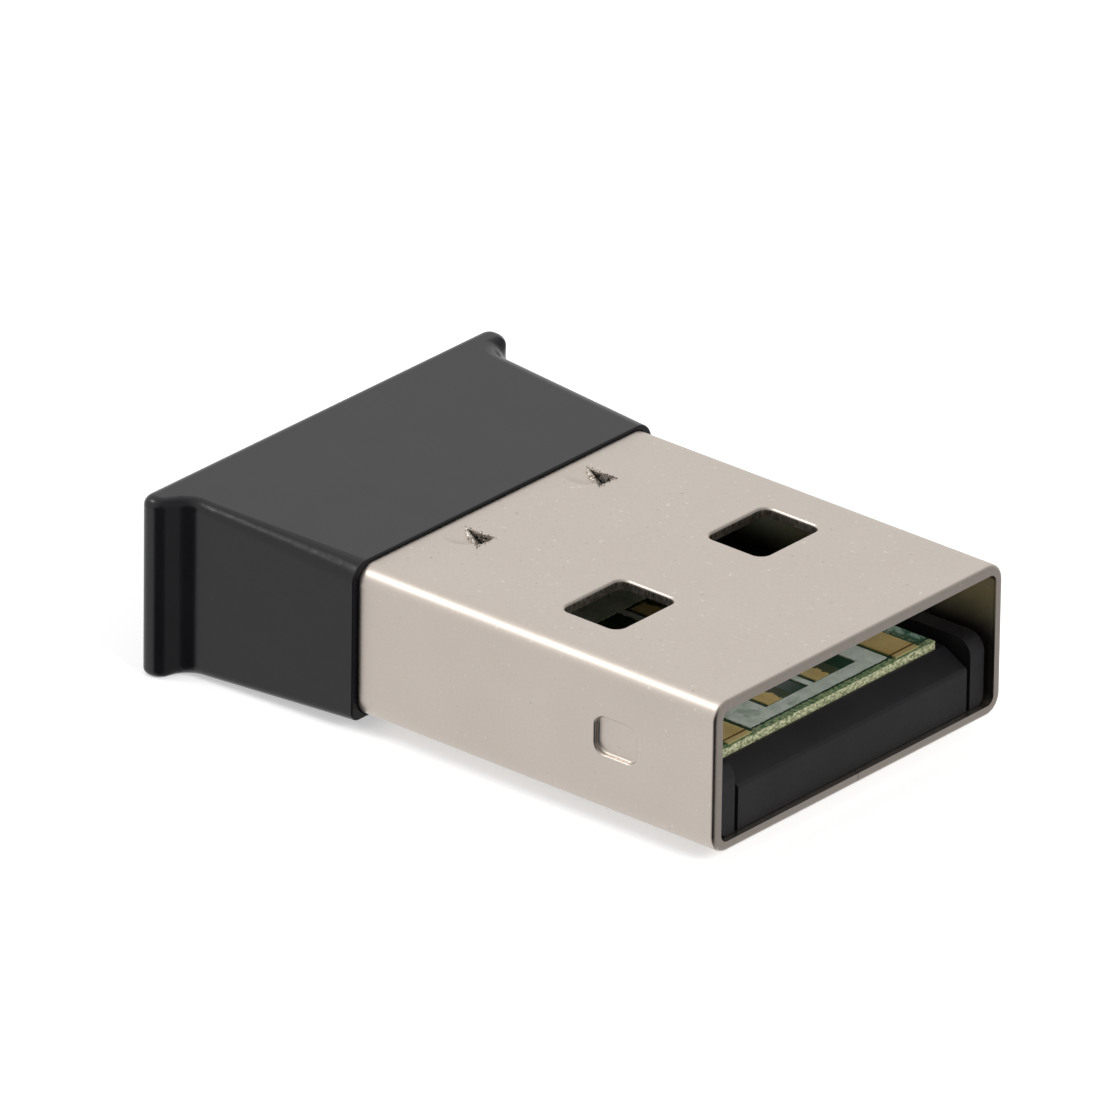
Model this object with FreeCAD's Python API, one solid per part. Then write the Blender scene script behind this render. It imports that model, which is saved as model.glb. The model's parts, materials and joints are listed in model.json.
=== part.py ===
import FreeCAD, Part
import math
import os

# Small wireless adapter that plugs into a computer: a folded metal plug shell,
# a black moulded cap behind it, and a board on a moulded carrier between them.
# Frame: +X out of the mouth of the plug, +Y across, +Z up on the contact side.
# The origin lies under the middle of the part, on the surface it rests on.
# All sizes are millimetres.

V = FreeCAD.Vector

# Plug shell
shell_width = 12.0
shell_height = 4.5
sheet = 0.3
bend_radius = 0.56
plug_reach = 12.55
shell_tail = 0.8
mouth_roll = 0.13
seam_gap = 0.02

# Dovetail that locks the seam on the underside
dovetail_setback = 6.6
dovetail_length = 1.9
dovetail_depth = 1.0
dovetail_flare = 0.3

# Latch windows, two on top and two below
window_length = 2.0
window_width = 2.5
window_spacing = 6.0
window_setback = 4.92
window_corner = 0.3
window_roll = 0.11

# Corner lances on top, punched down next to the cap
lance_length = 1.08
lance_width = 0.78
lance_spacing = 5.05
lance_offset = 0.45
lance_bend_deg = 46.0
lance_dish_radius = 0.62
lance_dish_depth = 0.09
lance_dish_offset = 0.2

# Side tabs pressed inwards next to the mouth
tab_length = 1.42
tab_height = 1.1
tab_corner = 0.3
tab_depth = 0.15
tab_roll = 0.07
tab_setback = 2.76
tab_centre_height = 2.33

# Cap
cap_length = 6.8
cap_width = 12.4
cap_front_height = 4.7
cap_back_height = 5.4
cap_flare = 0.25
cap_edge_radius = 0.58
cap_lower_radius = 0.3
cap_front_round = 0.06
cap_back_wall = 0.9
lip_stand = 0.79
lip_outer_thickness = 0.7
lip_slope_deg = 58.0
lip_corner_radius = 0.42
lip_cove_radius = 0.6
lip_back_radius = 0.38
lip_edge_radius = 0.3
lip_lower_radius = 0.2
seat_clearance = 0.03

# Spigot of the cap, over the board inside the shell
spigot_reach = 2.2
spigot_height = 0.85
spigot_width = 10.6
spigot_clearance = 0.04
spigot_root = 0.6
lance_pocket_margin = 0.12

# Contact side of the board
contact_cavity = 1.95
board_thickness = 0.6
board_setback = 1.1
board_end_gap = 0.12
board_fit = 0.05
notch_radius = 0.45
notch_offset = 1.6
mask_depth = 0.035

# Contact pads, in plugging order from the first outer pad to the last
pad_width = 0.95
outer_pad_pitch = 7.0
inner_pad_pitch = 2.0
outer_pad_length = 7.4
inner_pad_length = 6.5
outer_pad_setback = 0.14
inner_pad_setback = 0.86
pad_margin = 0.16
inner_opening_extra = 0.5

# Carrier that holds the board
nose_setback = 0.2
nose_front_height = 1.3
nose_crest_height = 1.74
nose_edge_radius = 0.14
carrier_floor = 0.42
carrier_lip = 0.23
carrier_ledge = 0.5
nose_block = 1.7
nose_crest_gap = 0.1

# Frame with two arms that run forward inside the shell
arm_width = 0.58
arm_groove = 0.14
arm_wall_gap = 0.2
arm_height = 2.07
arm_front_radius = 0.5
bridge_thickness = 0.6
bridge_height = 2.6
frame_clearance = 0.04
floor_clearance = 0.02

# Radio chip and the small parts round it, under the board
decoupling_count = 4
chip_side = 5.0
chip_height = 0.85
chip_corner_chamfer = 0.12
crystal_length = 2.5
crystal_width = 2.0
crystal_height = 0.55
crystal_base_height = 0.33
crystal_rim = 0.16
crystal_gap = 0.9
memory_length = 2.0
memory_width = 2.1
memory_height = 0.6
guard_length = 1.6
guard_width = 1.5
guard_height = 0.6
small_length = 1.0
small_width = 0.5
small_height = 0.5
resistor_height = 0.35
large_length = 1.6
large_width = 0.8
large_height = 0.75
end_cap = 0.22
end_step = 0.02
passive_gap = 0.45
row_end_margin = 0.42

# Aerial trace on the top of the board, at the cap end
trace_width = 0.42
trace_pitch = 0.95
trace_thickness = 0.035
aerial_end_margin = 0.45
aerial_span = 7.2
aerial_turns = 2
aerial_last_leg = 5.4
feed_length = 1.6
feed_spacing = 1.3

# Stations along X
x_mouth = (plug_reach + cap_length) / 2
x_cap = x_mouth - plug_reach
x_back = x_cap - cap_length
x_tail = x_cap - shell_tail
x_nose = x_mouth - nose_setback
x_board = x_mouth - board_setback
x_cavity_end = x_back + cap_back_wall
x_frame_end = x_cavity_end + frame_clearance
x_board_end = x_frame_end + bridge_thickness + board_end_gap
x_window = x_mouth - window_setback - window_length / 2
x_lance = x_cap + lance_offset

# The row under the board: memory chip, crystal, radio chip, from the cap end
x_memory = x_board_end + carrier_floor + row_end_margin + memory_length / 2
x_crystal = x_memory + memory_length / 2 + passive_gap + crystal_length / 2
x_chip = x_crystal + crystal_length / 2 + crystal_gap + chip_side / 2

# Levels along Z. The rounded back edge lies a little inside the wedge it is cut from
cap_slope = (cap_back_height - cap_front_height) / 2 / cap_length
corner_loss = lip_lower_radius * (cap_slope + math.hypot(1, cap_slope) - 1)
z_axis = cap_back_height / 2 - corner_loss
z_shell_top = z_axis + shell_height / 2
z_shell_bottom = z_axis - shell_height / 2
z_ceiling = z_shell_top - sheet
z_floor = z_shell_bottom + sheet
z_board_top = z_ceiling - contact_cavity
z_board_bottom = z_board_top - board_thickness
z_deck = z_floor + floor_clearance
z_crest = z_floor + nose_crest_height

# Half widths along Y, from the shell's inner wall to the board
y_inner_wall = shell_width / 2 - sheet
y_arm_out = y_inner_wall - arm_wall_gap
y_arm_in = y_arm_out - arm_width
y_carrier = y_arm_in - arm_groove
y_board = y_carrier - carrier_lip - board_fit

# Room that a cutting body reaches past a wall, in the open and near another wall
past = 1.0
near_past = 0.25


def block(x0, x1, y0, y1, z0, z1):
    """Plain block between two corners."""
    return Part.makeBox(x1 - x0, y1 - y0, z1 - z0, V(x0, y0, z0))


def edges_along(solid, axis):
    """Straight edges of a solid that run along one axis vector."""
    found = []
    for edge in solid.Edges:
        if len(edge.Vertexes) != 2:
            continue
        run = edge.Vertexes[1].Point - edge.Vertexes[0].Point
        if run.Length > 1e-6 and abs(run.normalize().dot(axis)) > 0.9999:
            found.append(edge)
    return found


def edges_through(solid, axis, **place):
    """Straight edges along one axis whose centre has the given x, y or z."""
    found = []
    for edge in edges_along(solid, axis):
        centre = edge.BoundBox.Center
        if all(abs(getattr(centre, name) - value) < 1e-4 for name, value in place.items()):
            found.append(edge)
    return found


def edges_at(solid, axis, level, tolerance=1e-4):
    """Edges whose whole box lies in the plane at one level of x, y or z."""
    found = []
    for edge in solid.Edges:
        box = edge.BoundBox
        low = {"x": box.XMin, "y": box.YMin, "z": box.ZMin}[axis]
        high = {"x": box.XMax, "y": box.YMax, "z": box.ZMax}[axis]
        if abs(low - level) < tolerance and abs(high - level) < tolerance:
            found.append(edge)
    return found


def bar_along_x(x0, x1, width, height, radius):
    """Bar on the plug's axis with a rounded rectangular section."""
    bar = block(x0, x1, -width / 2, width / 2, z_axis - height / 2, z_axis + height / 2)
    return bar.makeFillet(radius, edges_along(bar, V(1, 0, 0)))


def rounded_column(x0, x1, y0, y1, z0, z1, radius):
    """Block with its four upright edges rounded."""
    column = block(x0, x1, y0, y1, z0, z1)
    return column.makeFillet(radius, edges_along(column, V(0, 0, 1)))


def rounded(solid, radii):
    """Solid with edges rounded together, from pairs of an edge and its two end radii."""
    table = []
    for number, edge in enumerate(solid.Edges, 1):
        for wanted, start, end in radii:
            if edge.isSame(wanted):
                table.append((number, start, end))
    bench = FreeCAD.newDocument("rounding")
    base = bench.addObject("Part::Feature", "base")
    base.Shape = solid
    fillet = bench.addObject("Part::Fillet", "fillet")
    fillet.Base = base
    fillet.Edges = table
    bench.recompute()
    result = fillet.Shape.copy()
    FreeCAD.closeDocument(bench.Name)
    return result


def prism(points, direction):
    """Solid swept from a closed polygon."""
    return Part.Face(Part.makePolygon(points + [points[0]])).extrude(direction)


def mirrored(solid):
    """Copy on the other side of the middle plane."""
    return solid.mirror(V(0, 0, 0), V(0, 1, 0))


def save(node, solid):
    """Write one piece, after a check that it is sound."""
    if not solid.isValid() or solid.Volume <= 0:
        raise ValueError("unsound piece: " + node)
    solid.exportStep("parts/" + node + ".step")
    print(node, "solids", len(solid.Solids), "volume", round(solid.Volume, 3))


def window_columns(z0, z1):
    """The pair of window openings, as columns through one wall."""
    columns = []
    for y_mid in (-window_spacing / 2, window_spacing / 2):
        columns.append(rounded_column(x_window - window_length / 2, x_window + window_length / 2,
                                      y_mid - window_width / 2, y_mid + window_width / 2,
                                      z0, z1, window_corner))
    return columns


def window_edges(shell, level):
    """Edges of the window openings that lie on one outer face of the shell."""
    rims = []
    for edge in edges_at(shell, "z", level):
        centre = edge.BoundBox.Center
        inside_x = abs(centre.x - x_window) < window_length / 2 + sheet
        inside_y = abs(abs(centre.y) - window_spacing / 2) < window_width / 2 + sheet
        if inside_x and inside_y:
            rims.append(edge)
    return rims


def seam_slit():
    """Thin cut along the underside where the two edges of the sheet meet."""
    x_tab = x_mouth - dovetail_setback
    z0 = z_shell_bottom - past
    height = sheet + past + near_past
    root = dovetail_length / 2
    tip = root + dovetail_flare

    def trapezoid(grow):
        return prism([V(x_tab - root - grow, -grow, z0), V(x_tab + root + grow, -grow, z0),
                      V(x_tab + tip + grow, dovetail_depth + grow, z0),
                      V(x_tab - tip - grow, dovetail_depth + grow, z0)], V(0, 0, height))

    half = seam_gap / 2
    ring = trapezoid(half).cut(trapezoid(-half))
    neck = block(x_tab - root + half, x_tab + root - half, -seam_gap, half + 1e-3, z0, z0 + height)
    ring = ring.cut(neck)
    front = block(x_tab + root, x_mouth + past, -half, half, z0, z0 + height)
    rear = block(x_tail - past, x_tab - root, -half, half, z0, z0 + height)
    return ring.fuse([front, rear])


def lance_at(y_mid):
    """Cut triangle, its bent flap and the shallow dish of one corner lance."""
    y_edge = y_mid + lance_width / 2
    y_low = y_mid - lance_width / 2
    x_end = x_lance + lance_length
    hinge_start = V(x_lance, y_edge, z_shell_top)
    corner = V(x_end, y_edge, z_shell_top)
    hinge_end = V(x_end, y_low, z_shell_top)
    cut = prism([hinge_start, corner, hinge_end], V(0, 0, -sheet - near_past))
    flap = prism([hinge_start, corner, hinge_end], V(0, 0, -sheet))
    flap.rotate(hinge_start, hinge_end - hinge_start, lance_bend_deg)
    if flap.BoundBox.ZMax > z_shell_top + sheet / 2:
        flap.rotate(hinge_start, hinge_end - hinge_start, -2 * lance_bend_deg)
    ball_radius = (lance_dish_radius ** 2 + lance_dish_depth ** 2) / (2 * lance_dish_depth)
    middle = (hinge_start + hinge_end) * 0.5
    ball_z = z_shell_top - lance_dish_depth + ball_radius
    ball = Part.makeSphere(ball_radius, V(middle.x - lance_dish_offset, middle.y, ball_z))
    return cut, flap, ball


def tab_plate(y_face, thickness):
    """Rounded plate of one side tab, from one level inwards."""
    x0 = x_mouth - tab_setback - tab_length
    z0 = z_shell_bottom + tab_centre_height - tab_height / 2
    plate = block(x0, x0 + tab_length, y_face, y_face + thickness, z0, z0 + tab_height)
    return plate.makeFillet(tab_corner, edges_along(plate, V(0, 1, 0)))


def tab_edges(shell):
    """Rim and floor edges of the two pressed tabs, on the outside of the shell."""
    found = []
    x_tab = x_mouth - tab_setback - tab_length / 2
    for level in (shell_width / 2, shell_width / 2 - tab_depth):
        for edge in edges_at(shell, "y", level) + edges_at(shell, "y", -level):
            if abs(edge.BoundBox.Center.x - x_tab) < tab_length / 2 + sheet:
                found.append(edge)
    return found


def plug_shell():
    outer = bar_along_x(x_tail, x_mouth, shell_width, shell_height, bend_radius)
    outer = outer.makeFillet(mouth_roll, edges_at(outer, "x", x_mouth))
    inner = bar_along_x(x_tail - past, x_mouth + past, shell_width - 2 * sheet,
                        shell_height - 2 * sheet, bend_radius - sheet)
    shell = outer.cut(inner)
    openings = window_columns(z_ceiling - near_past, z_shell_top + past)
    openings += window_columns(z_shell_bottom - past, z_floor + near_past)
    shell = shell.cut(openings[0].fuse(openings[1:]))
    shell = shell.makeFillet(window_roll, window_edges(shell, z_shell_top))
    shell = shell.makeFillet(window_roll, window_edges(shell, z_shell_bottom))
    shell = shell.cut(seam_slit())
    for y_mid in (-lance_spacing / 2, lance_spacing / 2):
        cut, flap, ball = lance_at(y_mid)
        shell = shell.cut(ball).cut(cut).fuse(flap.cut(ball))
    y_out = shell_width / 2
    pocket = tab_plate(-y_out - near_past, near_past + tab_depth)
    boss = tab_plate(-y_out + tab_depth, sheet)
    shell = shell.fuse([boss, mirrored(boss)]).cut(pocket).cut(mirrored(pocket))
    return shell.makeFillet(tab_roll, tab_edges(shell)).removeSplitter()


def lip_outline():
    """Plan of one long side of the cap, from the front to the back, as points."""
    y_side = cap_width / 2
    y_cove = y_side + cap_flare
    y_lip = y_cove + lip_stand
    run = lip_stand / math.tan(math.radians(lip_slope_deg))
    x_lip = x_back + lip_outer_thickness
    return [V(x_cap, y_side, 0), V(x_lip + run, y_cove, 0), V(x_lip, y_lip, 0), V(x_back, y_lip, 0)]


def cap_plan():
    """Plan outline of the cap with the coved grip lips, swept upwards."""
    side = lip_outline()
    other = [V(p.x, -p.y, 0) for p in reversed(side)]
    body = prism(side + other, V(0, 0, cap_back_height + past))
    body.translate(V(0, 0, z_axis - (cap_back_height + past) / 2))
    radii = (lip_cove_radius, lip_corner_radius, lip_back_radius)
    for radius, corner in zip(radii, side[1:]):
        upright = edges_through(body, V(0, 0, 1), x=corner.x, y=corner.y)
        upright += edges_through(body, V(0, 0, 1), x=corner.x, y=-corner.y)
        body = body.makeFillet(radius, upright)
    return body


def cap_wedge():
    """Side view of the cap: taller at the back than at the shell."""
    half_front = cap_front_height / 2
    half_back = cap_back_height / 2
    y0 = -shell_width
    return prism([V(x_cap, y0, z_axis - half_front), V(x_cap, y0, z_axis + half_front),
                  V(x_back, y0, z_axis + half_back), V(x_back, y0, z_axis - half_back)],
                 V(0, 2 * shell_width, 0))


def cap_rims(body):
    """Edges round the sloping top and bottom of the cap, without those at the shell."""
    rims = []
    for edge in body.Edges:
        centre = edge.BoundBox.Center
        reach = x_cap - centre.x
        half = cap_front_height / 2 + reach * cap_slope
        if reach > 1e-4 and abs(abs(centre.z - z_axis) - half) < 1e-3:
            rims.append(edge)
    return rims


def cap_rim_radii(body):
    """Large radius along the sides, small round the lips, and a change over the coves.

    The lower edges stand close to the table and have smaller radii than the upper ones.
    """
    rims = cap_rims(body)
    x_cove_end = max(edge.BoundBox.XMin for edge in rims if edge.BoundBox.XMax > x_cap - 1e-3)
    radii = []
    for edge in rims:
        above = edge.BoundBox.Center.z > z_axis
        side_radius = cap_edge_radius if above else cap_lower_radius
        lip_radius = lip_edge_radius if above else lip_lower_radius
        x_first = edge.valueAt(edge.FirstParameter).x
        x_last = edge.valueAt(edge.LastParameter).x
        start, end = lip_radius, lip_radius
        if max(x_first, x_last) > x_cap - 1e-3:
            start, end = side_radius, side_radius
        elif abs(x_last - x_cove_end) < 1e-3:
            end = side_radius
        elif abs(x_first - x_cove_end) < 1e-3:
            start = side_radius
        radii.append((edge, start, end))
    return radii


def rear_cap():
    body = cap_plan().common(cap_wedge())
    body = rounded(body, cap_rim_radii(body))
    body = body.makeFillet(cap_front_round, edges_at(body, "x", x_cap))
    seat = bar_along_x(x_tail, x_cap + past, shell_width + 2 * seat_clearance,
                       shell_height + 2 * seat_clearance, bend_radius + seat_clearance)
    cavity = bar_along_x(x_cavity_end, x_tail + near_past, 2 * (y_arm_out + frame_clearance),
                         shell_height - 2 * sheet, bend_radius - sheet)
    body = body.cut(seat).cut(cavity)
    z_spigot = z_ceiling - spigot_clearance
    spigot = block(x_tail - spigot_root, x_cap + spigot_reach, -spigot_width / 2,
                   spigot_width / 2, z_spigot - spigot_height, z_spigot)
    for y_mid in (-lance_spacing / 2, lance_spacing / 2):
        margin = lance_pocket_margin
        pocket = block(x_lance - margin, x_cap + spigot_reach + past,
                       y_mid - lance_width / 2 - margin, y_mid + lance_width / 2 + margin,
                       z_spigot - spigot_height - past, z_spigot + past)
        spigot = spigot.cut(pocket)
    root = block(x_tail - spigot_root, x_tail, -spigot_width / 2, spigot_width / 2,
                 z_spigot - spigot_height, z_ceiling + near_past)
    return body.fuse([spigot, root]).removeSplitter()


def board_notches(radius):
    """Half-round locating notches in the long edges of the board."""
    x_notch = x_board_end + notch_offset
    columns = []
    for y_mid in (-y_board, y_board):
        columns.append(Part.makeCylinder(radius, board_thickness + 2 * past,
                                         V(x_notch, y_mid, z_board_bottom - past), V(0, 0, 1)))
    return columns


def pad_frames():
    """Name, front end, length, middle line and extra mask opening of each contact pad."""
    x_outer = x_board - outer_pad_setback
    x_inner = x_board - inner_pad_setback
    return [("contact_power", x_outer, outer_pad_length, outer_pad_pitch / 2, 0),
            ("contact_data_a", x_inner, inner_pad_length, inner_pad_pitch / 2, inner_opening_extra),
            ("contact_data_b", x_inner, inner_pad_length, -inner_pad_pitch / 2, inner_opening_extra),
            ("contact_ground", x_outer, outer_pad_length, -outer_pad_pitch / 2, 0)]


def circuit_board():
    board = block(x_board_end, x_board, -y_board, y_board, z_board_bottom, z_board_top)
    for column in board_notches(notch_radius):
        board = board.cut(column)
    for name, x_front, length, y_mid, extra in pad_frames():
        opening = block(x_front - length - pad_margin, x_front + min(pad_margin, outer_pad_setback / 2),
                        y_mid - pad_width / 2 - pad_margin, y_mid + pad_width / 2 + pad_margin + extra,
                        z_board_top - mask_depth, z_board_top + past)
        board = board.cut(opening)
    return board


def contact_pad(x_front, length, y_mid):
    return block(x_front - length, x_front, y_mid - pad_width / 2, y_mid + pad_width / 2,
                 z_board_top - mask_depth, z_board_top)


def board_carrier():
    y_lip = y_board + board_fit
    y_ledge = y_board - carrier_ledge
    x_block = x_nose - nose_block
    body = block(x_board_end, x_nose, -y_carrier, y_carrier, z_deck, z_crest)
    board_room = block(x_board_end - past, x_board + board_fit, -y_lip, y_lip,
                       z_board_bottom, z_crest + past)
    parts_room = block(x_board_end + carrier_floor, x_block, -y_ledge, y_ledge,
                       z_deck + carrier_floor, z_board_bottom + past)
    x_crest = x_board + nose_crest_gap
    z_front = z_floor + nose_front_height
    slope = prism([V(x_crest, -y_carrier, z_crest), V(x_nose, -y_carrier, z_front),
                   V(x_nose + past, -y_carrier, z_front), V(x_nose + past, -y_carrier, z_crest + past),
                   V(x_crest, -y_carrier, z_crest + past)], V(0, 2 * y_carrier, 0))
    body = body.cut(slope)
    body = body.makeFillet(nose_edge_radius, edges_through(body, V(0, 1, 0), x=x_nose, z=z_front))
    body = body.cut(board_room).cut(parts_room)
    pegs = []
    peg_room = block(x_board_end, x_nose, -y_carrier, y_carrier, z_board_bottom, z_crest)
    for column in board_notches(notch_radius - board_fit):
        pegs.append(column.common(peg_room))
    return body.fuse(pegs).removeSplitter()


def rail_frame():
    z_top = z_floor + arm_height
    arm = block(x_frame_end, x_nose, y_arm_in, y_arm_out, z_deck, z_top)
    arm = arm.makeFillet(arm_front_radius, edges_through(arm, V(0, 1, 0), x=x_nose, z=z_top))
    arm = arm.makeFillet(bend_radius - sheet, edges_through(arm, V(1, 0, 0), y=y_arm_out, z=z_deck))
    y_bridge = (y_arm_in + y_arm_out) / 2
    bridge = block(x_frame_end, x_frame_end + bridge_thickness, -y_bridge, y_bridge,
                   z_deck, z_deck + bridge_height)
    return bridge.fuse([arm, mirrored(arm)]).removeSplitter()


def aerial_path():
    """Centre line of the aerial: two feed legs and a folded trace."""
    x_rear = x_board_end + aerial_end_margin
    y_start = aerial_span / 2
    points = [V(x_rear + aerial_turns * 2 * trace_pitch + feed_length, y_start, 0)]
    x_now = x_rear + aerial_turns * 2 * trace_pitch
    side = 1
    points.append(V(x_now, y_start, 0))
    for fold in range(aerial_turns * 2):
        points.append(V(x_now, -side * y_start, 0))
        x_now -= trace_pitch
        side = -side
        points.append(V(x_now, side * y_start, 0))
    points.append(V(x_now, side * (y_start - aerial_last_leg), 0))
    return points


def aerial_trace():
    points = aerial_path()
    half = trace_width / 2
    top = z_board_top + trace_thickness
    strips = []
    for start, end in zip(points[:-1], points[1:]):
        strips.append(block(min(start.x, end.x) - half, max(start.x, end.x) + half,
                            min(start.y, end.y) - half, max(start.y, end.y) + half, z_board_top, top))
    leg_y = points[0].y - feed_spacing
    strips.append(block(points[1].x - half, points[0].x + half, leg_y - half, leg_y + half,
                        z_board_top, top))
    return strips[0].fuse(strips[1:]).removeSplitter()


def hang(solid, x_mid, y_mid):
    """Move a part, drawn standing on z = 0, to hang under the board."""
    solid.rotate(V(0, 0, 0), V(1, 0, 0), 180)
    solid.translate(V(x_mid, y_mid, z_board_bottom))
    return solid


def radio_chip():
    body = block(-chip_side / 2, chip_side / 2, -chip_side / 2, chip_side / 2, 0, chip_height)
    corner = prism([V(-chip_side / 2, -chip_side / 2, 0),
                    V(-chip_side / 2 + 2 * chip_corner_chamfer, -chip_side / 2, 0),
                    V(-chip_side / 2, -chip_side / 2 + 2 * chip_corner_chamfer, 0)], V(0, 0, chip_height))
    body = body.cut(corner)
    return hang(body, x_chip, 0)


def crystal_can():
    base = block(-crystal_length / 2, crystal_length / 2, -crystal_width / 2, crystal_width / 2,
                 0, crystal_base_height)
    lid = block(-crystal_length / 2 + crystal_rim, crystal_length / 2 - crystal_rim,
                -crystal_width / 2 + crystal_rim, crystal_width / 2 - crystal_rim,
                crystal_base_height, crystal_height)
    lid = lid.makeFillet(crystal_rim, edges_along(lid, V(0, 0, 1)))
    return hang(base.fuse(lid), x_crystal, 0)


def small_part(length, width, height):
    """Two-ended chip part: a body with slightly larger metal ends."""
    body = block(-length / 2, length / 2, -width / 2 + end_step, width / 2 - end_step,
                 0, height - end_step)
    ends = []
    for x0 in (-length / 2, length / 2 - end_cap):
        ends.append(block(x0, x0 + end_cap, -width / 2, width / 2, 0, height))
    return body.fuse(ends).removeSplitter()


def plain_package(length, width, height):
    return block(-length / 2, length / 2, -width / 2, width / 2, 0, height)


def board_parts():
    """Every small part under the board, by node name."""
    y_row = chip_side / 2 + passive_gap + small_width / 2
    x_front = x_chip + chip_side / 2
    x_rear = x_chip - chip_side / 2
    parts = {}
    for number in range(decoupling_count):
        x_mid = x_rear + (number + 0.5) * chip_side / decoupling_count
        y_mid = y_row if number % 2 else -y_row
        parts["decoupling_capacitor_%d" % (number + 1)] = hang(
            small_part(small_length, small_width, small_height), x_mid, y_mid)
    for number, side in enumerate((-1, 1)):
        parts["crystal_load_capacitor_%d" % (number + 1)] = hang(
            small_part(small_length, small_width, small_height),
            x_crystal, side * (crystal_width / 2 + passive_gap + small_width / 2))
        parts["data_line_resistor_%d" % (number + 1)] = hang(
            small_part(small_length, small_width, resistor_height),
            x_front + passive_gap + small_length / 2, side * (small_width / 2 + passive_gap / 2))
    x_guard = x_front + 2 * passive_gap + small_length + guard_length / 2
    parts["surge_guard"] = hang(plain_package(guard_length, guard_width, guard_height), x_guard, 0)
    x_large = x_front + passive_gap + large_length / 2
    y_large = small_width + passive_gap + large_width
    parts["supply_bead"] = hang(small_part(large_length, large_width, large_height), x_large, y_large)
    parts["supply_capacitor"] = hang(small_part(large_length, large_width, large_height), x_large, -y_large)
    parts["memory_chip"] = hang(plain_package(memory_length, memory_width, memory_height), x_memory, 0)
    y_match = memory_width / 2 + passive_gap + small_width / 2
    parts["aerial_match_inductor"] = hang(
        small_part(small_length, small_width, small_height), x_memory, y_match)
    parts["aerial_match_capacitor"] = hang(
        small_part(small_length, small_width, small_height), x_memory, -y_match)
    return parts


save("plug_shell", plug_shell())
save("rear_cap", rear_cap())
save("rail_frame", rail_frame())
save("board_carrier", board_carrier())
save("circuit_board", circuit_board())
for name, x_front, length, y_mid, extra in pad_frames():
    save(name, contact_pad(x_front, length, y_mid))
save("aerial_trace", aerial_trace())
save("radio_chip", radio_chip())
save("reference_crystal", crystal_can())
for name, solid in board_parts().items():
    save(name, solid)
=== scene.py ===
# %% [markdown]
# # A small plug-in wireless adapter
# The object is a nano adapter: a folded metal plug shell, a black cap that flares to two
# grip lips, and a board on a moulded carrier that shows in the mouth of the plug.
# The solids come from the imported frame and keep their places. This script gives each of
# them a finish, adds the fine pieces that only the eye needs, and lights the whole thing.

import json
import math

import bpy
from mathutils import Matrix, Vector


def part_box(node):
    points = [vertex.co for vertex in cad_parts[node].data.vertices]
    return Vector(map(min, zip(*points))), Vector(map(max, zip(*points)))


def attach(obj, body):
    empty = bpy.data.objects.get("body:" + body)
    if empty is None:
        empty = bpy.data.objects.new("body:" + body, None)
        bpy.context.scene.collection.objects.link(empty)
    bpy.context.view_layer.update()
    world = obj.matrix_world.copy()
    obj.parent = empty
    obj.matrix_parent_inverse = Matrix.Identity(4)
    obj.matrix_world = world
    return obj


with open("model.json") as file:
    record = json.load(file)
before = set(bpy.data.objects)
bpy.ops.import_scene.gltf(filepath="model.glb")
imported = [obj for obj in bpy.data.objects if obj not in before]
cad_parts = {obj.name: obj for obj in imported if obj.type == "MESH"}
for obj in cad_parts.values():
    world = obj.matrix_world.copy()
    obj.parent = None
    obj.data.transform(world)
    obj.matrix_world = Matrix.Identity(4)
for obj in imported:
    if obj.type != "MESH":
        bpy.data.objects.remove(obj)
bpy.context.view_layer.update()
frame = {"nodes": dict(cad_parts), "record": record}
mm = 0.001
shell_low, shell_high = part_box("plug_shell")
print("nodes in the frame:", len(frame["nodes"]))

# %% [markdown]
# ## The camera
# The picture was taken from the front right and a little above, from so far away that
# its lines hardly converge. A camera could be placed by eye, but then no size could be
# compared with the picture. This one was fitted to the corners of the plug shell, whose
# width and height are standard sizes, and it aims at a point between cap and mouth.

# %% Where the camera looks
camera_azimuth = math.radians(40.175)
camera_elevation = math.radians(25.793)
shell_reach = 12.55 * mm
aim_from_cap = Vector((5.0, -3.969, 5.921)) * mm

cap_line = Vector((shell_high.x - shell_reach, 0, shell_low.z))
camera_target = cap_line + aim_from_cap
level = math.cos(camera_elevation)
back = Vector((math.sin(camera_azimuth) * level, -math.cos(camera_azimuth) * level,
               math.sin(camera_elevation)))
right = Vector((math.cos(camera_azimuth), math.sin(camera_azimuth), 0))
up = back.cross(right)
print("camera target in mm:", [round(value / mm, 3) for value in camera_target])

# %% [markdown]
# A camera looks along its own -Z axis, so the direction back to the camera becomes its Z
# axis. The picture leans by less than a degree, and the roll turns the other two axes by
# that much. A long lens half a metre away gives the flat look of the picture.

# %% Place the camera
camera_roll = math.radians(0.808)
camera_distance = 536.3 * mm
camera_lens = 656.92
sensor_width = 36
nearest_view = 10 * mm

rolled_right = right * math.cos(camera_roll) + up * math.sin(camera_roll)
rolled_up = up * math.cos(camera_roll) - right * math.sin(camera_roll)
turn = Matrix((rolled_right, rolled_up, back)).transposed().to_4x4()
camera_data = bpy.data.cameras.new("camera")
camera_data.lens = camera_lens
camera_data.sensor_width = sensor_width
camera_data.clip_start = nearest_view
camera = bpy.data.objects.new("camera", camera_data)
camera.matrix_world = Matrix.Translation(camera_target + back * camera_distance) @ turn
bpy.context.scene.collection.objects.link(camera)
bpy.context.scene.camera = camera
print("camera lens in mm:", camera_lens)

# %% [markdown]
# ## Short calls for node trees
# The finishes, the room and the strings of fine pieces are all node trees. They could be
# drawn by hand in the node editor, but a script can be read and run again. This class
# makes that short: one call adds a node, sets its options, and feeds its inputs with
# plain values or with links from other nodes.

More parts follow.
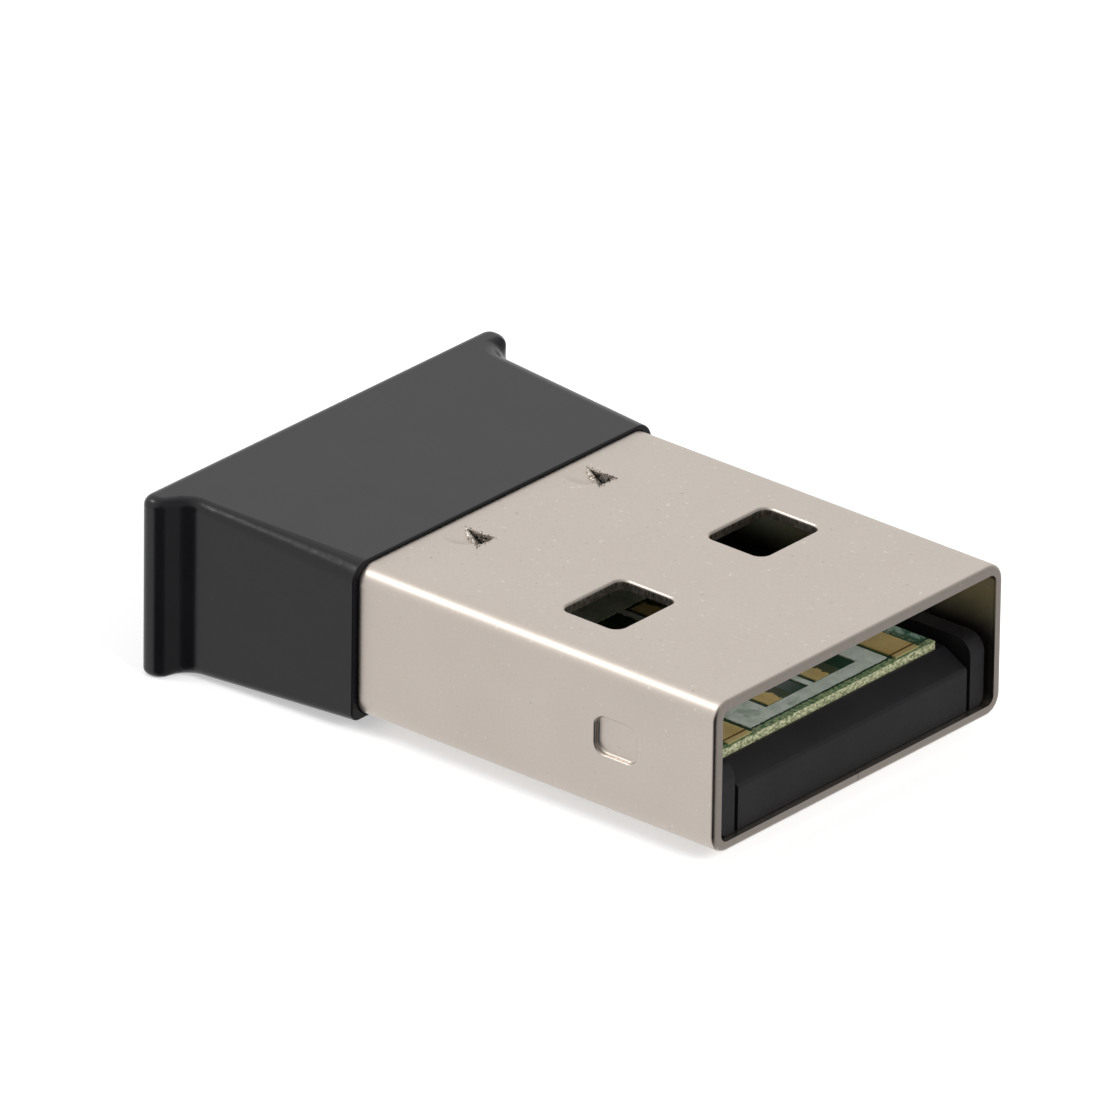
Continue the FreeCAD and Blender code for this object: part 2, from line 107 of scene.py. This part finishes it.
# %% Tree builder
class TreeBuilder:
    """Short calls that add nodes to one tree and join their sockets."""

    def __init__(self, tree):
        self.tree = tree

    def feed(self, socket, value):
        """Link another node's output to this input, or write a plain value into it."""
        if isinstance(value, bpy.types.NodeSocket):
            self.tree.links.new(value, socket)
        else:
            socket.default_value = value

    def node(self, kind, inputs=None, **options):
        """A new node. The keys of `inputs` are the names or numbers of its inputs."""
        node = self.tree.nodes.new(kind)
        for name, value in options.items():
            setattr(node, name, value)
        for key, value in (inputs or {}).items():
            self.feed(node.inputs[key], value)
        return node

    def number(self, operation, *values, clamp=False):
        """One step of arithmetic on numbers."""
        inputs = dict(enumerate(values))
        return self.node("ShaderNodeMath", inputs, operation=operation, use_clamp=clamp).outputs[0]

    def vector(self, operation, *values, scale=None):
        """One step of arithmetic on vectors."""
        inputs = dict(enumerate(values))
        if scale is not None:
            inputs["Scale"] = scale
        return self.node("ShaderNodeVectorMath", inputs, operation=operation).outputs[0]

    def axes(self, vector):
        """X, Y and Z of a vector."""
        return self.node("ShaderNodeSeparateXYZ", {0: vector}).outputs

    def between(self, value, low, high, start=0.0, end=1.0, curve="LINEAR"):
        """The way from low to high turned into the way from start to end, held at both ends."""
        inputs = {"Value": value, "From Min": low, "From Max": high, "To Min": start, "To Max": end}
        return self.node("ShaderNodeMapRange", inputs, interpolation_type=curve).outputs[0]


print("tree builder ready")

# %% [markdown]
# ## A finish
# Each finish is a small tree round one Principled shader. Image textures would need
# unwrapped surfaces, so the patterns are made from noise in Object coordinates instead:
# they stay with the solid from every side. The coordinates are turned into millimetres
# first, so a noise scale of 4 means about four cells in each millimetre.

# %% Finish class
finishes = {}


class Finish(TreeBuilder):
    """A material, kept in `finishes` under the name of the record's slot that it paints."""

    def __init__(self, slot):
        self.material = bpy.data.materials.new(slot + "_finish")
        self.material.use_nodes = True
        finishes[slot] = self.material
        super().__init__(self.material.node_tree)
        self.shader = self.tree.nodes["Principled BSDF"]
        metres = self.node("ShaderNodeTexCoord").outputs["Object"]
        self.place = self.vector("SCALE", metres, scale=1 / mm)

    def noise(self, scale, detail=2.0, roughness=0.5, stretch=(1, 1, 1), distortion=0.0):
        inputs = {"Vector": self.vector("MULTIPLY", self.place, stretch), "Scale": scale,
                  "Detail": detail, "Roughness": roughness, "Distortion": distortion}
        return self.node("ShaderNodeTexNoise", inputs).outputs["Fac"]

    def colours(self, factor, first, second):
        """The first colour where the factor is nought, the second where it is one."""
        inputs = {"Factor": factor}
        for key, colour in ((6, first), (7, second)):
            inputs[key] = colour if isinstance(colour, bpy.types.NodeSocket) else (*colour, 1)
        return self.node("ShaderNodeMix", inputs, data_type="RGBA").outputs[2]

    def bump(self, height, strength, depth, below=None):
        """Fine relief, `depth` millimetres deep, on top of another relief if one is given."""
        inputs = {"Height": height, "Strength": strength, "Distance": depth * mm}
        if below is not None:
            inputs["Normal"] = below
        return self.node("ShaderNodeBump", inputs).outputs[0]

    def set(self, **values):
        """Feed the shader, where base_color stands for its input Base Color."""
        for name, value in values.items():
            self.feed(self.shader.inputs[name.replace("_", " ").title()], value)
        return self.material


print("finish class ready")

# %% [markdown]
# ## Masks
# A mask is one where an effect belongs and nought elsewhere. Painted masks would need an
# image, so these are worked out from where a point lies and which way its face looks.

# %% Masks from place and facing
def facing(finish):
    """X, Y and Z of the direction that the flat face looks in."""
    return finish.axes(finish.node("ShaderNodeNewGeometry").outputs["True Normal"])


def above(finish, value, limit):
    return finish.number("GREATER_THAN", value, limit)


def below(finish, value, limit):
    return finish.number("LESS_THAN", value, limit)


def either_side(finish, value, middle=0.0):
    """How far a value lies from the middle, whichever side it is on."""
    return finish.number("ABSOLUTE", finish.number("SUBTRACT", value, middle))


def all_of(finish, mask, *others):
    """One where every mask is one."""
    for other in others:
        mask = finish.number("MULTIPLY", mask, other)
    return mask


print("mask helpers ready")

# %% [markdown]
# ## Places on the plug shell
# Three places on the shell look unlike the plate round them. The latch windows are
# punched, so their walls are bare, grooved steel. The two lances next to the cap are
# torn, with painted shade in their holes and painted glints on the torn metal, and a
# fine line of painted shade runs where the sides turn into the rounded rim of the mouth.

# %% Sizes on the plug shell in millimetres
shell_front = shell_high.x / mm
shell_side = shell_high.y / mm
shell_top = shell_high.z / mm
shell_middle = (shell_low.z + shell_high.z) / 2 / mm
rim_depth = 1.0
window_reach = 8.5
bend_width = 1.0
lance_front = shell_front - 11.02
lance_length = 1.08
lance_width = 0.78
lance_reach = 2.525
print("front edge of the lances at x =", round(lance_front, 3))

# %% Masks of the windows, the lances and the painted shade at the rim
upright_limit = 0.35
side_limit = 0.6
torn_centre = lance_front - 0.5
torn_half_length = 0.62
torn_margin = 0.06
skin_depth = 0.10
line_start = shell_front - 0.075
line_end = shell_front - 0.035
line_waver = 0.02


def window_walls(finish):
    """The upright, sheared walls of the latch windows."""
    x, y, _ = finish.axes(finish.place)
    _, _, upward = facing(finish)
    return all_of(finish, below(finish, either_side(finish, upward), upright_limit),
                  below(finish, x, shell_front - rim_depth), above(finish, x, shell_front - window_reach),
                  below(finish, either_side(finish, y), shell_side - bend_width))


def shaded_torn_lances(finish):
    """The torn metal inside the two lances of the top wall, with painted shade and painted glints."""
    x, y, z = finish.axes(finish.place)
    from_lance = either_side(finish, either_side(finish, y), lance_reach)
    return all_of(finish, below(finish, from_lance, lance_width / 2 + torn_margin),
                  below(finish, either_side(finish, x, torn_centre), torn_half_length),
                  below(finish, z, shell_top - skin_depth), above(finish, z, shell_middle))


def mouth_shade_line(finish, grain):
    """Painted shade: the dark line on the sides, just behind the rim of the mouth."""
    x, _, _ = finish.axes(finish.place)
    _, sideways, _ = facing(finish)
    wavy = finish.number("MULTIPLY_ADD", grain, line_waver, x)
    return all_of(finish, above(finish, either_side(finish, sideways), side_limit),
                  above(finish, wavy, line_start), below(finish, wavy, line_end))


print("shell masks ready")

# %% [markdown]
# ## Nickel plate on the shell
# The shell is bright nickel over pressed steel, tumbled to a satin. A mirror finish would
# show the room too sharply, so the roughness is about a third and wanders a little. Fine
# grain, light and dark specks and a very shallow relief break up the flat faces.

# %% Finish of the plug shell
nickel = ((0.65, 0.58, 0.515), (0.70, 0.625, 0.56))
light_speck = (0.80, 0.74, 0.68)
dark_speck = (0.52, 0.46, 0.41)
# The colour of the painted shade where the sides roll into the rim of the mouth.
painted_rim_shade = (0.36, 0.32, 0.29)
sheared_steel = ((0.10, 0.085, 0.07), (0.34, 0.31, 0.28))
# Torn steel in the lances: the dark tone is painted shade in the holes, and the bright tone is painted
# glints.
torn_steel_shade_and_glint = ((0.10, 0.09, 0.08), (0.90, 0.84, 0.77))


def plug_metal():
    finish = Finish("plug_metal")
    grain = finish.noise(11.0, detail=3.0, roughness=0.65)
    cloud = finish.noise(0.45)
    speck = finish.noise(7.0, detail=1.0, roughness=0.4)
    grooves = finish.noise(14.0, detail=3.0, roughness=0.7, stretch=(1, 1, 0.4))
    ragged = finish.noise(9.0, detail=4.0, roughness=0.7)
    sheared = window_walls(finish)
    torn = shaded_torn_lances(finish)

    tone = finish.colours(finish.between(grain, 0.3, 0.7), *nickel)
    tone = finish.colours(finish.between(speck, 0.7, 0.8), tone, light_speck)
    tone = finish.colours(finish.between(speck, 0.26, 0.18), tone, dark_speck)
    # Painted shade along the rim of the mouth.
    tone = finish.colours(mouth_shade_line(finish, grain), tone, painted_rim_shade)
    bare = finish.colours(finish.between(grooves, 0.35, 0.65), *sheared_steel)
    # Painted shade and painted glints mottle the torn metal of the lances.
    torn_shade_and_glint = finish.colours(finish.between(ragged, 0.42, 0.58), *torn_steel_shade_and_glint)
    tone = finish.colours(sheared, tone, bare)
    tone = finish.colours(torn, tone, torn_shade_and_glint)

    satin = finish.number("ADD", finish.between(grain, 0.3, 0.7, 0.33, 0.39),
                          finish.between(cloud, 0.3, 0.7, -0.02, 0.03))
    relief = finish.bump(grain, 0.35, 0.0015)
    relief = finish.bump(finish.number("MULTIPLY", ragged, torn), 1.0, 0.06, below=relief)
    return finish.set(base_color=tone, metallic=1.0, normal=relief,
                      roughness=finish.number("MULTIPLY_ADD", sheared, 0.2, satin))


print("made", plug_metal().name)

# %% [markdown]
# ## Black mouldings
# The cap is glossy black with hardly any grain. The carrier and the frame in the mouth
# are a flatter black, and the chips are flatter still. They differ in tone, gloss and
# grain only, so one function makes them all.

# %% Finishes of the mouldings
def moulding(slot, tones, gloss, grain_size, grain_depth, shine=0.5):
    """A moulded or glazed surface. `gloss` is its lowest and highest roughness."""
    finish = Finish(slot)
    grain = finish.noise(grain_size, detail=4.0, roughness=0.6)
    cloud = finish.noise(0.6)
    finish.shader.inputs["Specular IOR Level"].default_value = shine
    return finish.set(base_color=finish.colours(finish.between(cloud, 0.3, 0.7), *tones),
                      roughness=finish.between(grain, 0.3, 0.7, *gloss),
                      normal=finish.bump(grain, 0.3, grain_depth))


cap_black = ((0.0065, 0.0065, 0.0080), (0.0082, 0.0082, 0.0100))
insert_black = ((0.008, 0.008, 0.0095), (0.012, 0.012, 0.0135))
print("made", moulding("cap_plastic", cap_black, (0.19, 0.22), 9.0, 0.0004, shine=0.43).name)
print("made", moulding("insert_plastic", insert_black, (0.40, 0.50), 8.0, 0.003, shine=0.45).name)

# %% [markdown]
# ## The board
# The top wears a glossy grey-green solder mask over its copper, with darker blotches.
# Round each contact the mask is cut back to dark laminate, which the solid has as shallow
# openings, so a height limit tells mask from laminate. The mask also ends short of the
# front edge and of both side edges, and the sawn edge shows pale glass fibre.

# %% Colours and limits of the board
board_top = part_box("circuit_board")[1].z / mm
board_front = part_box("circuit_board")[1].x / mm
last_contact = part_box("contact_power")[1].y / mm
mask_depth = 0.015
side_margin = 0.1
bare_start = board_front - 0.24
strip_start = board_front - 0.16
mask_green = ((0.47, 0.53, 0.46), (0.58, 0.64, 0.57))
mask_blotch = (0.30, 0.38, 0.31)
bare_laminate = (0.016, 0.045, 0.028)
side_laminate = ((0.03, 0.10, 0.06), (0.26, 0.36, 0.29))
front_strip = ((0.08, 0.17, 0.08), (0.34, 0.40, 0.22))
sawn_fibre = ((0.10, 0.13, 0.05), (0.62, 0.62, 0.40))
print("top of the board at z =", round(board_top, 3))

# %% Finish of the board
def board_laminate():
    finish = Finish("board_laminate")
    x, y, z = finish.axes(finish.place)
    _, _, upward = facing(finish)
    weave = finish.noise(3.0)
    fibre = finish.noise(9.0, detail=3.0, roughness=0.7, stretch=(1, 1, 1.6))
    blotch = finish.noise(1.6, detail=4.0, roughness=0.65, distortion=0.6)
    ragged_x = finish.number("MULTIPLY_ADD", fibre, 0.10, x)

    mask = finish.colours(finish.between(weave, 0.35, 0.65), *mask_green)
    mask = finish.colours(finish.between(blotch, 0.54, 0.68), mask, mask_blotch)
    sides = finish.colours(finish.between(blotch, 0.5, 0.6), *side_laminate)
    strip = finish.colours(finish.between(fibre, 0.4, 0.6), *front_strip)
    edge = finish.colours(finish.between(fibre, 0.38, 0.62), *sawn_fibre)

    top = finish.colours(above(finish, z, board_top - mask_depth), bare_laminate, mask)
    top = finish.colours(above(finish, either_side(finish, y), last_contact + side_margin), top, sides)
    top = finish.colours(above(finish, ragged_x, bare_start), top, bare_laminate)
    top = finish.colours(above(finish, ragged_x, strip_start), top, strip)
    flat = above(finish, upward, 0.5)
    return finish.set(base_color=finish.colours(flat, edge, top),
                      roughness=finish.number("MULTIPLY_ADD", flat, -0.35, 0.6),
                      normal=finish.bump(fibre, 0.25, 0.01))


print("made", board_laminate().name)

# %% [markdown]
# ## Gold contacts
# The contacts are gold flash on copper. The two long ones end in a groove, darkened with
# painted shade, and a rounded tip made brighter with a painted highlight. One side of each
# of the two short ones is dark olive and not metallic. The short pads lie at the same
# distance on both sides of the middle, so a modulo lays one on the other, and a single
# limit finds that side on both.

# %% Finish of the contacts
contact_low, contact_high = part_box("contact_data_a")
contact_middle = (contact_low.y + contact_high.y) / 2 / mm
contact_width = (contact_high.y - contact_low.y) / mm
contact_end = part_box("contact_power")[1].x / mm
groove_centre = contact_end - 0.20
groove_half_width = 0.035
tip_start = contact_end - 0.15
olive_side_edge = (0.82 * contact_width, 0.86 * contact_width)
gold_flash = ((0.84, 0.60, 0.20), (1.0, 0.80, 0.36))
# Painted shade for the groove, and a painted highlight for the rounded tip.
painted_groove_shade = (0.24, 0.13, 0.03)
painted_tip_highlight = (1.0, 0.82, 0.38)
# The dark olive that covers one side of each of the two short pads.
dark_olive_side = (0.045, 0.06, 0.03)


def contact_gold():
    finish = Finish("contact_gold")
    x, y, _ = finish.axes(finish.place)
    grain = finish.noise(5.0, detail=3.0, roughness=0.6)
    wear = finish.noise(1.3, stretch=(0.4, 1, 1))
    short_pair = below(finish, either_side(finish, y), contact_middle + contact_width)
    from_edge = finish.number("ADD", y, contact_middle + contact_width / 2)
    in_pad = finish.number("FLOORED_MODULO", from_edge, 2 * contact_middle)
    # One side of each short pad turns dark olive and loses its metal.
    olive_side = finish.between(finish.number("MULTIPLY_ADD", grain, 0.5, in_pad), *olive_side_edge)
    olive_side = all_of(finish, short_pair, olive_side)

    tone = finish.colours(finish.between(wear, 0.35, 0.65), *gold_flash)
    # Painted shade in the groove, then a painted highlight on the tip.
    groove = finish.number("COMPARE", x, groove_centre, groove_half_width)
    tone = finish.colours(groove, tone, painted_groove_shade)
    tone = finish.colours(above(finish, x, tip_start), tone, painted_tip_highlight)
    tone = finish.colours(olive_side, tone, dark_olive_side)
    return finish.set(base_color=tone, metallic=finish.between(olive_side, 0, 1, 0.6, 0.0),
                      roughness=finish.between(grain, 0.3, 0.7, 0.36, 0.48),
                      normal=finish.bump(grain, 0.3, 0.002))


print("made", contact_gold().name, "for pads", round(contact_width, 3), "mm wide")

# %% [markdown]
# ## Small metals and small parts
# The rest of the metal is copper, the crystal's steel lid, torn steel and solder. Each is
# one colour with a little grain, so one function makes them. The chips, capacitors and
# resistors are moulded or glazed, and reuse the function of the mouldings.

# %% Finishes of the small metals and parts
def small_metal(slot, tones, roughness):
    finish = Finish(slot)
    grain = finish.noise(10.0, detail=3.0, roughness=0.6)
    return finish.set(base_color=finish.colours(finish.between(grain, 0.3, 0.7), *tones), metallic=1.0,
                      roughness=finish.between(grain, 0.3, 0.7, roughness - 0.05, roughness + 0.07),
                      normal=finish.bump(grain, 0.3, 0.002))


small_metal("aerial_copper", ((0.55, 0.30, 0.12), (0.72, 0.42, 0.18)), 0.34)
small_metal("crystal_lid", ((0.50, 0.47, 0.42), (0.66, 0.63, 0.57)), 0.3)
small_metal("torn_edge", ((0.60, 0.54, 0.48), (0.92, 0.87, 0.80)), 0.25)
small_metal("solder", ((0.52, 0.52, 0.52), (0.70, 0.70, 0.69)), 0.28)
moulding("chip_resin", ((0.018, 0.018, 0.019), (0.026, 0.026, 0.026)), (0.5, 0.62), 14.0, 0.01)
moulding("capacitor_ceramic", ((0.36, 0.26, 0.16), (0.46, 0.34, 0.22)), (0.35, 0.45), 12.0, 0.006)
moulding("resistor_glaze", ((0.014, 0.014, 0.016), (0.02, 0.02, 0.024)), (0.18, 0.26), 12.0, 0.004)
print("finishes in all:", len(finishes))

# %% [markdown]
# ## Dress the frame's own solids
# The record names a material slot for each node, and `finishes` keeps a finish for each
# of those names, so one loop hands them out.

# %% Give each node its finish
for part in frame["record"]["subparts"]:
    node = frame["nodes"][part["node"]]
    node.data.materials.clear()
    node.data.materials.append(finishes[part["material_slot"]])

# %% [markdown]
# ## Fine pieces along paths
# Torn burrs edge the lances, lands stand round the radio chip, and solder sits at the ends
# of the small parts. Each could be modelled by hand, but all of them repeat along a path,
# so a Geometry Nodes group makes them: it spreads points along a line, puts a small body
# on each, and varies place, turn and size at random from a fixed seed.

# %% Node group that strings bodies on a path
def string_group(name, body_kind, body_inputs, finish_name):
    """A group that strings bodies of unit size on the edges of the mesh it is given."""
    group = bpy.data.node_groups.new(name, "GeometryNodeTree")
    wanted = {"Geometry": "Geometry", "Count": "Int", "Size": "Float", "Size change": "Float",
              "Turn": "Float", "Scatter": "Float", "Seed": "Int"}
    for title, kind in wanted.items():
        group.interface.new_socket(title, in_out="INPUT", socket_type="NodeSocket" + kind)
    group.interface.new_socket("Geometry", in_out="OUTPUT", socket_type="NodeSocketGeometry")
    build = TreeBuilder(group)
    given = build.node("NodeGroupInput").outputs

    def random_vector(reach, stream):
        """A vector for each point, up to `reach` either way along each axis."""
        ends = {0: build.vector("SCALE", (-1, -1, -1), scale=given[reach]),
                1: build.vector("SCALE", (1, 1, 1), scale=given[reach]),
                "Seed": build.number("ADD", given["Seed"], stream)}
        return build.node("FunctionNodeRandomValue", ends, data_type="FLOAT_VECTOR").outputs[0]

    def step(kind, **inputs):
        return build.node("GeometryNode" + kind, inputs).outputs[0]

    path = step("MeshToCurve", Mesh=given["Geometry"])
    points = step("ResampleCurve", Curve=path, Count=given["Count"])
    points = step("SetPosition", Geometry=points, Offset=random_vector("Scatter", 1))
    body = step(body_kind, **body_inputs)
    size = build.vector("ADD", random_vector("Size change", 3), given["Size"])
    placed = step("InstanceOnPoints", Points=points, Instance=body, Rotation=random_vector("Turn", 2),
                  Scale=size)
    real = step("RealizeInstances", Geometry=placed)
    dressed = step("SetMaterial", Geometry=real, Material=finishes[finish_name])
    build.node("NodeGroupOutput", {0: dressed})
    return group


shards = string_group("shards", "MeshIcoSphere", {"Radius": 0.5, "Subdivisions": 1}, "torn_edge")
blocks = string_group("blocks", "MeshCube", {"Size": (1, 1, 1)}, "solder")
drops = string_group("drops", "MeshIcoSphere", {"Radius": 0.5, "Subdivisions": 3}, "solder")
print("groups:", shards.name, blocks.name, drops.name)

# %% [markdown]
# A group works through a modifier on a mesh that holds only the path. The modifier knows
# its inputs by the identifiers of their sockets, not by name, so the names are looked up.
# The evaluated result becomes a plain mesh, and the path with its modifier is removed.

# %% Turn a path into a finished piece
def string_along(name, points, group, slot, smooth=False, **inputs):
    """A piece made of bodies along a line of points in millimetres, riding on the adapter."""
    path = bpy.data.meshes.new(name + "_path")
    steps = [(i, i + 1) for i in range(len(points) - 1)]
    path.from_pydata([[value * mm for value in point] for point in points], steps, [])
    carrier = bpy.data.objects.new(name + "_carrier", path)
    bpy.context.scene.collection.objects.link(carrier)
    modifier = carrier.modifiers.new("string", "NODES")
    modifier.node_group = group
    for item in group.interface.items_tree:
        key = item.name.lower().replace(" ", "_")
        if item.in_out == "INPUT" and key in inputs:
            modifier[item.identifier] = inputs[key]
    bpy.context.view_layer.update()
    strung = carrier.evaluated_get(bpy.context.evaluated_depsgraph_get())
    solid = bpy.data.meshes.new_from_object(strung)
    carrier.modifiers.remove(modifier)
    bpy.data.objects.remove(carrier)
    for polygon in solid.polygons:
        polygon.use_smooth = smooth
    piece = bpy.data.objects.new(name, solid)
    bpy.context.scene.collection.objects.link(piece)
    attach(piece, "root")
    return piece


print("pieces can be strung")

# %% [markdown]
# ## Burrs on the lances
# A punch has torn the corner of each lance loose on two sides and pushed it down. That
# leaves bright crumbs of metal round the cut and coarser ones along the bend. A displaced
# edge would need a very fine mesh, while a string of small shards looks as ragged.

# %% Burrs and torn hinges
burr_level = shell_top - 0.012
hinge_shifts = ((0.06, -0.06, -0.05), (-0.02, 0.03, -0.07))
burr = {"count": 70, "size": 0.05 * mm, "size_change": 0.03 * mm, "turn": 3.1, "scatter": 0.025 * mm}
crumb = {"count": 26, "size": 0.10 * mm, "size_change": 0.05 * mm, "turn": 3.1, "scatter": 0.03 * mm}
for side, y_middle, seed in (("left", -lance_reach, 11), ("right", lance_reach, 23)):
    y_near = y_middle + lance_width / 2
    y_far = y_middle - lance_width / 2
    start = (lance_front - lance_length, y_near, burr_level)
    corner = (lance_front, y_near, burr_level)
    end = (lance_front, y_far, burr_level)
    edge = string_along("lance_burr_" + side, [corner, start, end, corner], shards, "plug_metal",
                        seed=seed, **burr)
    sunk = [[a + b for a, b in zip(point, shift)] for point, shift in zip((start, end), hinge_shifts)]
    hinge = string_along("lance_hinge_" + side, sunk, shards, "plug_metal", seed=seed + 5, **crumb)
    print("made", edge.name, "and", hinge.name)

# %% [markdown]
# ## Lands round the radio chip
# The chip hangs under the board and has no legs. A row of tinned lands runs along each of
# its four sides, eight to a side, all alike and evenly spaced, so nothing here is random.
# The rows lie at the chip's lower face. On the real thing they are at the board's face.

# %% Four rows of lands
chip_low, chip_high = (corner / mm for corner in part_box("radio_chip"))
land_level = chip_low.z + 0.03
land_margin = 0.02
land_inset = 0.5
land = {"count": 8, "size": 0.14 * mm, "size_change": 0.0, "turn": 0.0, "scatter": 0.0, "seed": 1}
x_ends = (chip_low.x + land_inset, chip_high.x - land_inset)
y_ends = (chip_low.y + land_inset, chip_high.y - land_inset)
rows = [[(x, chip_high.y + land_margin, land_level) for x in x_ends],
        [(chip_high.x + land_margin, y, land_level) for y in y_ends],
        [(x, chip_low.y - land_margin, land_level) for x in x_ends],
        [(chip_low.x - land_margin, y, land_level) for y in y_ends]]
for number, row in enumerate(rows, start=1):
    string_along("chip_lands_%d" % number, row, blocks, "crystal_lid", **land)
print("made", len(rows), "rows of lands")

# %% [markdown]
# ## Solder at the small parts
# Each small part hangs under the board too, and is soldered at its two ends. A drop at
# each end stands in for the sloping fillet. The path is a line from end to end along the
# part's lower face, though real solder would sit at the board, and the drop's size
# follows from the part's width.

# %% Solder drops
def ends_of(name):
    """The middles of a part's two ends at its lower face, and half its smaller side."""
    low, high = (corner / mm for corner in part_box(name))
    middle = (low + high) / 2
    reach = (high - low) / 2
    if reach.x > reach.y:
        ends = [(low.x, middle.y, low.z), (high.x, middle.y, low.z)]
    else:
        ends = [(middle.x, low.y, low.z), (middle.x, high.y, low.z)]
    return ends, min(reach.x, reach.y)


drop_share = 1.3
kinds = ("capacitor", "resistor", "inductor", "bead")
small_parts = [name for name in frame["nodes"] if any(kind in name for kind in kinds)]
for name in small_parts:
    ends, half_width = ends_of(name)
    string_along(name + "_solder", ends, drops, "crystal_lid", smooth=True, count=2,
                 size=half_width * drop_share * mm, size_change=0.0, turn=0.0, scatter=0.0, seed=1)
print("soldered", len(small_parts), "small parts")

# %% [markdown]
# ## Floor
# The object lies on a pale floor that has to look white in the picture and still keep the
# object's shadow. More light would do that too, but it would wash out the object. So the
# floor glows a little, and Light Path limits the glow to rays from the camera, a mirror or
# glass, so that it lights nothing. The shell's sides mirror the room and not the floor.

# %% White floor
floor_size = 3.0
floor_grey = 0.82
floor_glow = 0.45


def floor_material():
    material = bpy.data.materials.new("floor_white")
    material.use_nodes = True
    build = TreeBuilder(material.node_tree)
    rays = build.node("ShaderNodeLightPath").outputs
    viewed = build.number("ADD", rays["Is Camera Ray"], rays["Is Glossy Ray"], clamp=True)
    viewed = build.number("ADD", viewed, rays["Is Transmission Ray"], clamp=True)
    shader = build.tree.nodes["Principled BSDF"]
    shader.inputs["Base Color"].default_value = (floor_grey, floor_grey, floor_grey, 1)
    shader.inputs["Roughness"].default_value = 0.9
    shader.inputs["Specular IOR Level"].default_value = 0.0
    shader.inputs["Emission Color"].default_value = (1, 1, 1, 1)
    build.feed(shader.inputs["Emission Strength"], build.number("MULTIPLY", viewed, floor_glow))
    return material


half = floor_size / 2
floor_mesh = bpy.data.meshes.new("floor")
floor_mesh.from_pydata([(-half, -half, 0), (half, -half, 0), (half, half, 0), (-half, half, 0)],
                       [], [(0, 1, 2, 3)])
floor = bpy.data.objects.new("floor", floor_mesh)
floor.visible_glossy = False
floor.data.materials.append(floor_material())
bpy.context.scene.collection.objects.link(floor)
print("floor", floor_size, "m wide")

# %% [markdown]
# ## Room
# Metal and glossy plastic are mostly a picture of the room. A real room could be built of
# panels, but a world shader that depends on direction does the same and fills no space.
# In the picture the reflections are white on the left, greyer on the right, and dark in
# front, below where the camera stood, so the shader has those three zones. The camera and
# rays that pass through glass see plain white, which is the background.

# %% Room shader
left_white = 0.86
right_grey = 0.34
front_dark = 0.02
dark_zone = Vector((0.45, -0.85, -0.25)).normalized()
wall_span = (-0.35, 0.55)
shade_span = (0.62, 0.90)

world = bpy.data.worlds.new("room")
world.use_nodes = True
build = TreeBuilder(world.node_tree)
direction = build.node("ShaderNodeTexCoord").outputs["Generated"]
sideways, _, _ = build.axes(direction)
towards_dark = build.node("ShaderNodeVectorMath", {0: direction, 1: dark_zone},
                          operation="DOT_PRODUCT").outputs["Value"]
wall = build.between(sideways, *wall_span, left_white, right_grey, curve="SMOOTHSTEP")
shade = build.between(towards_dark, *shade_span, 1.0, front_dark, curve="SMOOTHSTEP")
zones = build.number("MULTIPLY", wall, shade)
rays = build.node("ShaderNodeLightPath").outputs
viewed = build.number("MAXIMUM", rays["Is Camera Ray"], rays["Is Transmission Ray"])
strength = build.node("ShaderNodeMix", {0: viewed, 2: zones, 3: 1.0}).outputs[0]
background = world.node_tree.nodes["Background"]
background.inputs["Color"].default_value = (1, 1, 1, 1)
build.feed(background.inputs["Strength"], strength)
bpy.context.scene.world = world
print("room from", left_white, "on the left to", right_grey, "on the right")

# %% [markdown]
# ## Lamps
# The room gives most of the light. A small lamp, with a wider one just behind it, draws
# the bright line along the plug's upper bend and the cap's edge. A third lamp stands in
# front of the mouth and lights the board. The shell's top would mirror it as plain white
# from behind, so that lamp is kept out of mirrors.

# %% Place the lamps
def soft_lamp(name, direction, distance, size, power):
    """A round area lamp that faces the object."""
    data = bpy.data.lights.new(name, "AREA")
    data.shape = "DISK"
    data.size = size
    data.energy = power
    lamp = bpy.data.objects.new(name, data)
    direction = Vector(direction).normalized()
    lamp.location = direction * distance
    lamp.rotation_euler = direction.to_track_quat("Z", "Y").to_euler()
    bpy.context.scene.collection.objects.link(lamp)
    return lamp


bend_side = (-0.58, -0.40, 0.70)
mouth_side = (0.85, -0.10, 0.53)
soft_lamp("key_lamp", bend_side, 0.30, 0.04, 0.06)
soft_lamp("wide_lamp", bend_side, 0.31, 0.20, 0.075)
mouth_lamp = soft_lamp("mouth_lamp", mouth_side, 0.35, 0.14, 0.78)
mouth_lamp.visible_glossy = False
print("lamps placed, and the mouth lamp kept out of mirrors")

# %% [markdown]
# ## Colours on screen
# The Standard view shows colours as they are written.

# %% Set the view transform
bpy.context.scene.view_settings.view_transform = "Standard"
